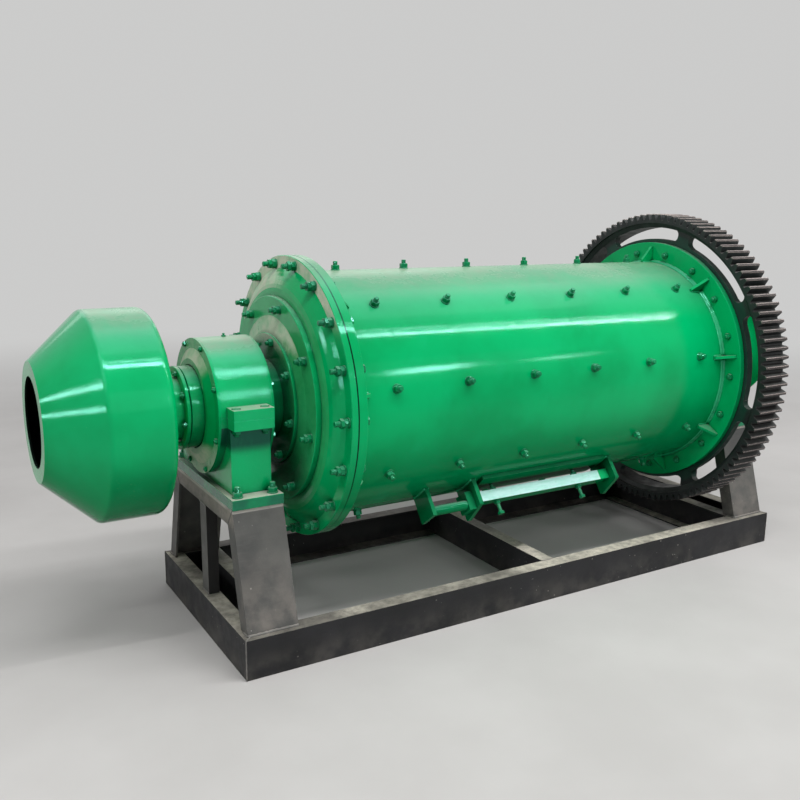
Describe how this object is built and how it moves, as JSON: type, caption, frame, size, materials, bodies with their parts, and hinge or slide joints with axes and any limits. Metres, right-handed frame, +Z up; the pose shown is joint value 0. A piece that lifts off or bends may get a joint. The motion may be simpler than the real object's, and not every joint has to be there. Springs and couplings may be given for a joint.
{
  "type": "ball mill",
  "caption": "Small industrial ball mill: a green drum with a drum feeder and a spoked girth gear, turning in two plummer bearings on a welded channel frame.",
  "frame": {"origin": "on the ground below the middle of the whole machine's bounding box", "axes": "+X along the mill's axis from the feeder to the girth gear, +Z up, -Y is the front side with the hatch"},
  "size_m": [3.313, 1.3436, 1.504],
  "materials": {
    "green_enamel": "gloss",
    "frame_paint": "satin",
    "gear_iron": "satin",
    "bare_bar": "satin"
  },
  "bodies": {
    "base": {"front_beam": "frame_paint", "back_beam": "frame_paint", "left_end_beam": "frame_paint", "right_end_beam": "frame_paint", "left_cross_member": "frame_paint", "middle_cross_member": "frame_paint", "right_cross_member": "frame_paint", "left_front_leg": "frame_paint", "left_back_leg": "frame_paint", "left_top_channel": "frame_paint", "left_middle_post": "frame_paint", "right_front_leg": "frame_paint", "right_back_leg": "frame_paint", "right_top_channel": "frame_paint", "right_middle_post": "frame_paint", "left_pedestal": "green_enamel", "left_cap": "green_enamel", "left_outer_cover": "green_enamel", "left_inner_cover": "green_enamel", "right_pedestal": "green_enamel", "right_cap": "green_enamel", "right_outer_cover": "green_enamel", "right_inner_cover": "green_enamel"},
    "drum": {"feed_drum": "green_enamel", "feed_neck": "green_enamel", "feed_trunnion": "green_enamel", "feed_seal_ring": "green_enamel", "feed_head": "green_enamel", "shell": "green_enamel", "feed_flange": "green_enamel", "gear_flange": "green_enamel", "girth_gear": "gear_iron", "gear_head": "green_enamel", "gear_trunnion": "green_enamel", "gear_seal_ring": "green_enamel", "discharge_bell": "green_enamel", "hatch_cover": "green_enamel", "hatch_bar": "bare_bar", "hatch_left_lug": "green_enamel", "hatch_right_lug": "green_enamel", "hatch_block": "green_enamel", "hatch_drawbar": "green_enamel", "hatch_bracket": "green_enamel"}
  },
  "joints": [
    {"name": "drum_spin", "type": "hinge", "parent": "base", "child": "drum", "pos_m": [0, 0, 0.832], "axis": [1, 0, 0], "continuous": true}
  ]
}
